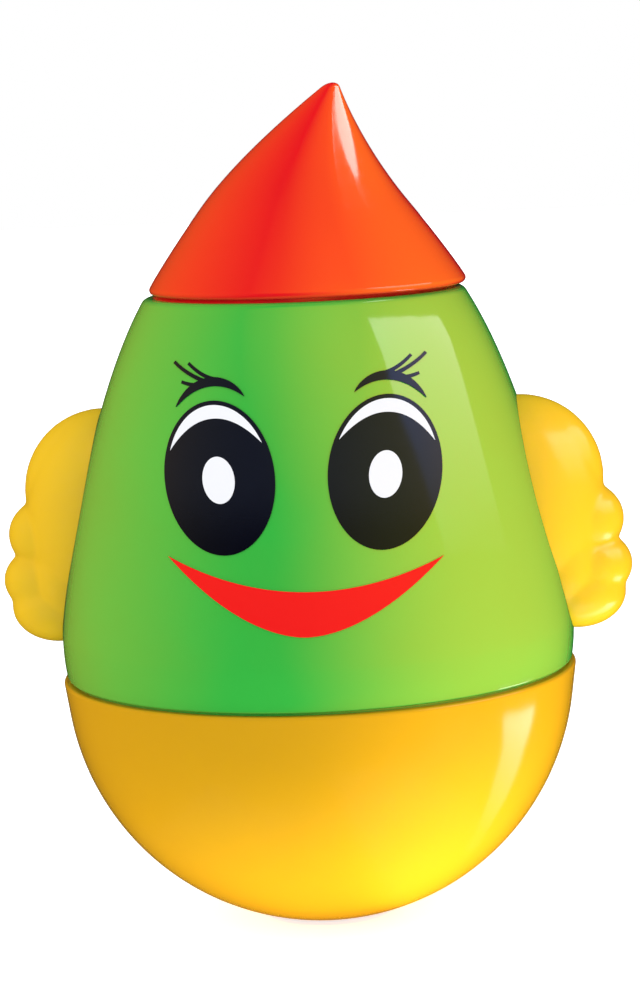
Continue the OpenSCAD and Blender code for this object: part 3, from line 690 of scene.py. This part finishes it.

# %% [markdown]
# Ink is flatter than the plastic under it. Its group also paints shade into the ink: it mixes a
# darker colour below and a lighter one above by height, so the eyes are a soft black in the
# middle and deep black below. A trace of noise is added.

# %% Node group for the ink and its painted shade
def ink_and_painted_shade_group():
    group = bpy.data.node_groups.new("ink_and_painted_shade", "ShaderNodeTree")
    add_socket(group, "Shaded colour", "INPUT", "NodeSocketColor", (0, 0, 0, 1))
    add_socket(group, "Lit colour", "INPUT", "NodeSocketColor", (0.1, 0.1, 0.1, 1))
    add_socket(group, "Low height", "INPUT", "NodeSocketFloat", 0.0)
    add_socket(group, "High height", "INPUT", "NodeSocketFloat", 0.1)
    add_socket(group, "Colour", "OUTPUT", "NodeSocketColor")
    add_socket(group, "Roughness", "OUTPUT", "NodeSocketFloat")
    nodes, links = group.nodes, group.links
    given, put_out = nodes.new("NodeGroupInput"), nodes.new("NodeGroupOutput")
    place = nodes.new("ShaderNodeTexCoord")
    axes = nodes.new("ShaderNodeSeparateXYZ")
    links.new(place.outputs["Object"], axes.inputs["Vector"])
    # painted shade: the ink's colour is darker towards the bottom of each shape and lighter above it
    height = nodes.new("ShaderNodeMapRange")
    height.interpolation_type = "SMOOTHSTEP"
    links.new(axes.outputs["Z"], height.inputs["Value"])
    links.new(given.outputs["Low height"], height.inputs["From Min"])
    links.new(given.outputs["High height"], height.inputs["From Max"])
    trace = add_node(nodes, "ShaderNodeTexNoise", {"Scale": 300})
    links.new(place.outputs["Object"], trace.inputs["Vector"])
    little = add_node(nodes, "ShaderNodeMapRange", {"To Min": -0.08, "To Max": 0.08})
    links.new(trace.outputs["Fac"], little.inputs["Value"])
    share = add_math(nodes, "ADD")
    share.use_clamp = True
    links.new(height.outputs["Result"], share.inputs[0])
    links.new(little.outputs["Result"], share.inputs[1])
    mix = add_colour_mix(nodes)
    links.new(share.outputs["Value"], mix.inputs["Factor"])
    links.new(given.outputs["Shaded colour"], mix.inputs["A"])
    links.new(given.outputs["Lit colour"], mix.inputs["B"])
    gloss = add_node(nodes, "ShaderNodeMapRange", {"To Min": 0.08, "To Max": 0.15})
    links.new(trace.outputs["Fac"], gloss.inputs["Value"])
    links.new(mix.outputs["Result"], put_out.inputs["Colour"])
    links.new(gloss.outputs["Result"], put_out.inputs["Roughness"])
    return group


ink_and_painted_shade = ink_and_painted_shade_group()
print("group:", ink_and_painted_shade.name, "with", len(ink_and_painted_shade.nodes), "nodes")

# %% Materials of the shell and the print
peel_strength, peel_height = 0.2, 0.02


def skin_material(name, colour, drift_colour, gloss, specular):
    material, nodes, links = new_material(name)
    shader = nodes["Principled BSDF"]
    skin = nodes.new("ShaderNodeGroup")
    skin.node_tree = moulded_skin
    skin.inputs["Colour"].default_value = (*colour, 1)
    skin.inputs["Drift colour"].default_value = (*drift_colour, 1)
    skin.inputs["Gloss low"].default_value, skin.inputs["Gloss high"].default_value = gloss
    bump = add_node(nodes, "ShaderNodeBump", {"Strength": peel_strength, "Distance": peel_height * MM})
    links.new(skin.outputs["Colour"], shader.inputs["Base Color"])
    links.new(skin.outputs["Roughness"], shader.inputs["Roughness"])
    links.new(skin.outputs["Peel"], bump.inputs["Height"])
    links.new(bump.outputs["Normal"], shader.inputs["Normal"])
    shader.inputs["IOR"].default_value = 1.5
    shader.inputs["Specular IOR Level"].default_value = specular
    return material


def ink_material(name, shaded_colour, lit_colour, heights, specular, tint):
    material, nodes, links = new_material(name)
    shader = nodes["Principled BSDF"]
    ink = nodes.new("ShaderNodeGroup")
    ink.node_tree = ink_and_painted_shade
    ink.inputs["Shaded colour"].default_value = (*shaded_colour, 1)
    ink.inputs["Lit colour"].default_value = (*lit_colour, 1)
    ink.inputs["Low height"].default_value = heights[0] * MM
    ink.inputs["High height"].default_value = heights[1] * MM
    links.new(ink.outputs["Colour"], shader.inputs["Base Color"])
    links.new(ink.outputs["Roughness"], shader.inputs["Roughness"])
    shader.inputs["Specular IOR Level"].default_value = specular
    shader.inputs["Specular Tint"].default_value = (*tint, 1)
    return material


shiny, soft, satin = (0.05, 0.08), (0.10, 0.14), (0.20, 0.25)
yellow = skin_material("yellow_plastic", (0.66, 0.345, 0.006), (0.635, 0.33, 0.006), soft, 0.6)
lemon = skin_material("lemon_plastic", (0.84, 0.53, 0.006), (0.81, 0.50, 0.006), satin, 0.9)
green = skin_material("green_plastic", (0.040, 0.485, 0.056), (0.050, 0.465, 0.052), shiny, 1.0)
red = skin_material("red_plastic", (0.86, 0.008, 0.012), (0.83, 0.007, 0.012), shiny, 1.0)
white, cold_blue = (1, 1, 1), (0.1, 0.25, 1.0)
# painted shade on the print: each ink is darker at the low end of these heights and lighter at the high
# end
eye_heights = (seam_z + eye_z - eye_h / 2, seam_z + eye_z)
mouth_heights = (seam_z + 15, seam_z + 28)
black_ink = ink_material(
    "black_ink", (0.003, 0.003, 0.006), (0.009, 0.010, 0.016), eye_heights, 0.60, cold_blue)
white_ink = ink_material(
    "white_ink", (0.88, 0.88, 0.91), (0.91, 0.90, 0.93), eye_heights, 0.1, white)
red_ink = ink_material(
    "red_ink", (0.86, 0.013, 0.012), (0.89, 0.015, 0.012), mouth_heights, 0.06, white)
print("materials:", [m.name for m in (yellow, lemon, green, red, black_ink, white_ink, red_ink)])

# %% Dress the shell and the print
shell = [
    (base, "base_shell", yellow, "yellow_plastic"), (body, "body_shell", green, "green_plastic"),
    (cap, "cap", red, "red_plastic"), (right_wing, "right_wing", lemon, "yellow_plastic"),
    (left_wing, "left_wing", lemon, "yellow_plastic"), (smile, "mouth", red_ink, "red_print")]
for word in ("left", "right"):
    shell += [
        (eyes[word], word + "_eye", black_ink, "black_print"),
        (whites[word], word + "_eye_white", white_ink, "white_print"),
        (brows[word], word + "_brow", black_ink, "black_print")]
for piece, node, material, slot in shell:
    piece.data.materials.clear()
    piece.data.materials.append(material)
    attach(piece, "toy")
    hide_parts(node)
# reflections leave the wings out, so that the body's gloss stays clean beside them
for piece in (right_wing, left_wing, frame["nodes"]["wing_screws"]):
    piece.visible_glossy = False
print("dressed", len(shell), "pieces")

# %% [markdown]
# ## The inside
# The weight is rough cast iron, the chime is brushed steel, and the plate, the column and the
# hammers are matt plastic. Their solids are plain turned and drilled shapes, so they stay as they
# are and only get a finish.

# %% Materials of the inside
even, brushed = (1, 1, 1), (1, 1, 12)


def grained_material(name, colour, worn, scale, stretch, roughness, metallic, depth):
    material, nodes, links = new_material(name)
    shader = nodes["Principled BSDF"]
    place = nodes.new("ShaderNodeTexCoord")
    stretched = add_node(nodes, "ShaderNodeMapping", {"Scale": stretch})
    grain = add_node(nodes, "ShaderNodeTexNoise", {"Scale": scale, "Detail": 6})
    links.new(place.outputs["Object"], stretched.inputs["Vector"])
    links.new(stretched.outputs["Vector"], grain.inputs["Vector"])
    mix = add_colour_mix(nodes)
    mix.inputs["A"].default_value = (*colour, 1)
    mix.inputs["B"].default_value = (*worn, 1)
    links.new(grain.outputs["Fac"], mix.inputs["Factor"])
    links.new(mix.outputs["Result"], shader.inputs["Base Color"])
    rough = add_node(nodes, "ShaderNodeMapRange", {"To Min": roughness[0], "To Max": roughness[1]})
    links.new(grain.outputs["Fac"], rough.inputs["Value"])
    links.new(rough.outputs["Result"], shader.inputs["Roughness"])
    bump = add_node(nodes, "ShaderNodeBump", {"Strength": 0.5, "Distance": depth * MM})
    links.new(grain.outputs["Fac"], bump.inputs["Height"])
    links.new(bump.outputs["Normal"], shader.inputs["Normal"])
    shader.inputs["Metallic"].default_value = metallic
    return material


cast_iron = grained_material(
    "cast_iron", (0.05, 0.05, 0.055), (0.16, 0.15, 0.15), 500, even, (0.5, 0.8), 0.9, 0.15)
steel = grained_material(
    "brushed_steel", (0.5, 0.51, 0.53), (0.68, 0.69, 0.7), 400, brushed, (0.2, 0.42), 1.0, 0.01)
white_plastic = grained_material(
    "white_plastic", (0.78, 0.78, 0.76), (0.7, 0.7, 0.68), 300, even, (0.45, 0.6), 0, 0.02)
red_matt = grained_material(
    "red_matt_plastic", (0.7, 0.06, 0.03), (0.6, 0.05, 0.03), 300, even, (0.4, 0.55), 0, 0.02)
inside_finish = {
    "counterweight": cast_iron, "weight_plate": white_plastic, "chime_column": white_plastic}
for name in ("plate_screws", "chime_ring", "column_screw", "wing_screws"):
    inside_finish[name] = steel
for i in range(1, 5):
    inside_finish["chime_rod_%d" % i] = steel
    inside_finish["hammer_pin_%d" % i] = steel
    inside_finish["hammer_%d" % i] = red_matt
for name, material in inside_finish.items():
    node = frame["nodes"][name]
    for slot in node.material_slots:
        slot.material = material
    if not node.material_slots:
        node.data.materials.append(material)
print("finished", len(inside_finish), "inner nodes")

# %% [markdown]
# ## The studio
# The toy stands on a white table in front of white. A soft white sky lights it from all sides, a
# little more from the upper left. A warm glow to the right, to the left, above and below, which
# only reflections see, turns the edges of the colours towards yellow.

# %% Floor
table_glow = 0.72
clear_selection()
bpy.ops.mesh.primitive_plane_add(size=6, location=(0, 0, -0.05 * MM))
floor = bpy.context.object
floor.name = "floor"
white_table, nodes, links = new_material("white_table")
table_shader = nodes["Principled BSDF"]
table_shader.inputs["Base Color"].default_value = (0.9, 0.9, 0.92, 1)
table_shader.inputs["Roughness"].default_value = 0.8
table_shader.inputs["Specular IOR Level"].default_value = 0.1
path = nodes.new("ShaderNodeLightPath")
seen = add_math(nodes, "MAXIMUM")
links.new(path.outputs["Is Camera Ray"], seen.inputs[0])
links.new(path.outputs["Is Transmission Ray"], seen.inputs[1])
glow = add_math(nodes, "MULTIPLY")
glow.inputs[1].default_value = table_glow
links.new(seen.outputs["Value"], glow.inputs[0])
table_shader.inputs["Emission Color"].default_value = (1, 1, 1, 1)
links.new(glow.outputs["Value"], table_shader.inputs["Emission Strength"])
floor.data.materials.append(white_table)
floor.visible_glossy = False
print("floor:", floor.name)

# %% World
def towards(azimuth, elevation):
    a, e = math.radians(azimuth), math.radians(elevation)
    return Vector((math.sin(a) * math.cos(e), -math.cos(a) * math.cos(e), math.sin(e)))


world = bpy.data.worlds.new("studio")
scene.world = world
world.use_nodes = True
nodes, links = world.node_tree.nodes, world.node_tree.links
nodes.clear()
sky_path = nodes.new("ShaderNodeLightPath")
place = nodes.new("ShaderNodeTexCoord")


def sky(colour, strength):
    return add_node(nodes, "ShaderNodeBackground", {"Color": (*colour, 1), "Strength": strength})


def sky_glow(direction, reach, power, colour, strength):
    background = sky(colour, strength)
    nearness = nodes.new("ShaderNodeVectorMath")
    nearness.operation = "DOT_PRODUCT"
    nearness.inputs[1].default_value = direction
    links.new(place.outputs["Generated"], nearness.inputs[0])
    fade = add_node(nodes, "ShaderNodeMapRange", {"From Min": reach})
    links.new(nearness.outputs["Value"], fade.inputs["Value"])
    falloff = add_math(nodes, "POWER")
    falloff.inputs[1].default_value = power
    links.new(fade.outputs["Result"], falloff.inputs[0])
    level = add_math(nodes, "MULTIPLY")
    level.inputs[1].default_value = strength
    links.new(falloff.outputs["Value"], level.inputs[0])
    links.new(level.outputs["Value"], background.inputs["Strength"])
    return background


def both(first, second):
    add = nodes.new("ShaderNodeAddShader")
    links.new(first.outputs[0], add.inputs[0])
    links.new(second.outputs[0], add.inputs[1])
    return add


daylight, lemon_light = (0.97, 1.0, 1.02), (1, 0.75, 0.01)
amber, deep_amber = (1, 0.42, 0.01), (1, 0.40, 0.01)
fill = both(sky(daylight, 0.93), sky_glow(towards(-20, 50), 0.0, 1.0, daylight, 0.28))
backdrop, dim_room = sky(white, 1.0), sky(white, 0.015)
glow_right = sky_glow(towards(79, 8), -0.05, 1.5, amber, 4.6)
glow_left = sky_glow(towards(-100, 10), 0.3, 1.5, deep_amber, 1.15)
glow_top = sky_glow(towards(0, 52), 0.85, 1.0, amber, 1.1)
glow_below = sky_glow(towards(60, -75), 0.5, 1.0, lemon_light, 0.9)
room = both(both(glow_right, glow_left), both(both(glow_top, glow_below), dim_room))
mirrored = add_math(nodes, "MAXIMUM")
links.new(sky_path.outputs["Is Glossy Ray"], mirrored.inputs[0])
links.new(sky_path.outputs["Is Transmission Ray"], mirrored.inputs[1])
lit = nodes.new("ShaderNodeMixShader")
links.new(mirrored.outputs["Value"], lit.inputs["Fac"])
links.new(fill.outputs[0], lit.inputs[1])
links.new(room.outputs[0], lit.inputs[2])
sky_seen = nodes.new("ShaderNodeMixShader")
links.new(sky_path.outputs["Is Camera Ray"], sky_seen.inputs["Fac"])
links.new(lit.outputs[0], sky_seen.inputs[1])
links.new(backdrop.outputs[0], sky_seen.inputs[2])
sky_out = nodes.new("ShaderNodeOutputWorld")
links.new(sky_seen.outputs[0], sky_out.inputs["Surface"])
print("world:", world.name, "with", len(nodes), "nodes")

# %% [markdown]
# A bright table throws light back up under the bowl. Two flat lamps that lie on it and face upwards
# do that here. Neither the camera nor a reflection sees them.

# %% Lamps on the table
def table_lamp(name, at, size, radiance):
    data = bpy.data.lights.new(name, "AREA")
    data.shape = "RECTANGLE"
    data.size, data.size_y = size
    data.energy = radiance * math.pi * size[0] * size[1]
    lamp = bpy.data.objects.new(name, data)
    scene.collection.objects.link(lamp)
    lamp.location = at
    lamp.rotation_mode = "QUATERNION"
    lamp.rotation_quaternion = Vector((0, 0, 1)).to_track_quat("-Z", "Y")
    lamp.visible_camera = False
    lamp.visible_glossy = False
    return lamp


table_near = table_lamp("table_near", (0.002, -0.030, 0.001), (0.11, 0.076), 1.4)
table_right = table_lamp("table_right", (0.075, -0.030, 0.0015), (0.12, 0.12), 1.9)
print("lamps:", [lamp.name for lamp in (table_near, table_right)])

# %% [markdown]
# Gloss shows the shape of a lamp. Three bright cards stand in for the photographer's window, for a
# strip of light on the table and for a lamp beside the cap. They are drawn corner by corner, shine
# on one side, and only reflections see them.

# %% Cards for the reflections
lit_point = Vector((0, 0, 95)) * MM


def card(name, corners, axis, fade, strength):
    piece = draw_line(name, [Vector(corner) * MM for corner in corners])
    bpy.ops.mesh.select_all(action="SELECT")
    bpy.ops.mesh.edge_face_add()
    bpy.ops.object.mode_set(mode="OBJECT")
    face = piece.data.polygons[0]
    if face.normal.dot(lit_point - face.center) < 0:
        bpy.ops.object.mode_set(mode="EDIT")
        bpy.ops.mesh.flip_normals()
        bpy.ops.object.mode_set(mode="OBJECT")
    material, nodes, links = new_material(name)
    nodes.clear()
    place = nodes.new("ShaderNodeTexCoord")
    axes = nodes.new("ShaderNodeSeparateXYZ")
    links.new(place.outputs["Object"], axes.inputs["Vector"])
    level = add_node(nodes, "ShaderNodeMapRange", {
        "From Min": fade[0] * MM, "From Max": fade[1] * MM,
        "To Min": strength[0], "To Max": strength[1]})
    links.new(axes.outputs[axis], level.inputs["Value"])
    side = nodes.new("ShaderNodeNewGeometry")
    front = add_math(nodes, "SUBTRACT")
    front.inputs[0].default_value = 1
    links.new(side.outputs["Backfacing"], front.inputs[1])
    one_sided = add_math(nodes, "MULTIPLY")
    links.new(level.outputs["Result"], one_sided.inputs[0])
    links.new(front.outputs["Value"], one_sided.inputs[1])
    shine = nodes.new("ShaderNodeEmission")
    links.new(one_sided.outputs["Value"], shine.inputs["Strength"])
    clear = nodes.new("ShaderNodeBsdfTransparent")
    sheet = nodes.new("ShaderNodeAddShader")
    links.new(shine.outputs["Emission"], sheet.inputs[0])
    links.new(clear.outputs["BSDF"], sheet.inputs[1])
    out = nodes.new("ShaderNodeOutputMaterial")
    links.new(sheet.outputs["Shader"], out.inputs["Surface"])
    piece.data.materials.append(material)
    piece.visible_camera = False
    piece.visible_diffuse = False
    piece.visible_shadow = False
    return piece


window = card("window_card", [
    (342, -225, 529), (385, -173, 510), (456, -69, 489), (537, 66, 476), (640, 272, 480),
    (684, 280, 434), (701, 251, 395), (734, 205, 327), (771, 190, 273), (805, 192, 234),
    (847, 212, 197), (881, 220, 161), (600, -252, 195), (553, -266, 250), (502, -277, 305),
    (451, -293, 355), (425, -282, 393), (399, -261, 438), (371, -247, 480)],
    "Z", (190, 500), (0.1, 2.15))
strip_z = 1
strip = card("strip_card", [(x, y, strip_z) for x, y in (
    (38, -14), (43, -15), (51, -16.5), (72, -19), (107, -18), (139, -19.5), (150, -20), (157, 38),
    (152, 35.5), (142, 29), (104, 9), (73, -1.5), (53, -7), (45, -7.5), (39, -7.5))],
    "X", (45, 150), (0.1, 4.2))
flash_x, flash_z, flash_slope = 60, 205, 0.247
flash = card("flash_card", [(flash_x + (z - flash_z) * flash_slope, y, z) for y, z in (
    (-24, 262), (-11, 229), (-6.5, 218.5), (-3.8, 211.5), (-2, 206), (-0.3, 201), (0.1, 198.6),
    (3.8, 193.2), (7.4, 190.7), (12.6, 188.1), (19.6, 185.9), (26.3, 184.8), (34, 184.3),
    (36, 190), (20, 225), (-5, 262))],
    "Z", (184, 230), (5.0, 5.5))
print("cards:", window.name, strip.name, flash.name)
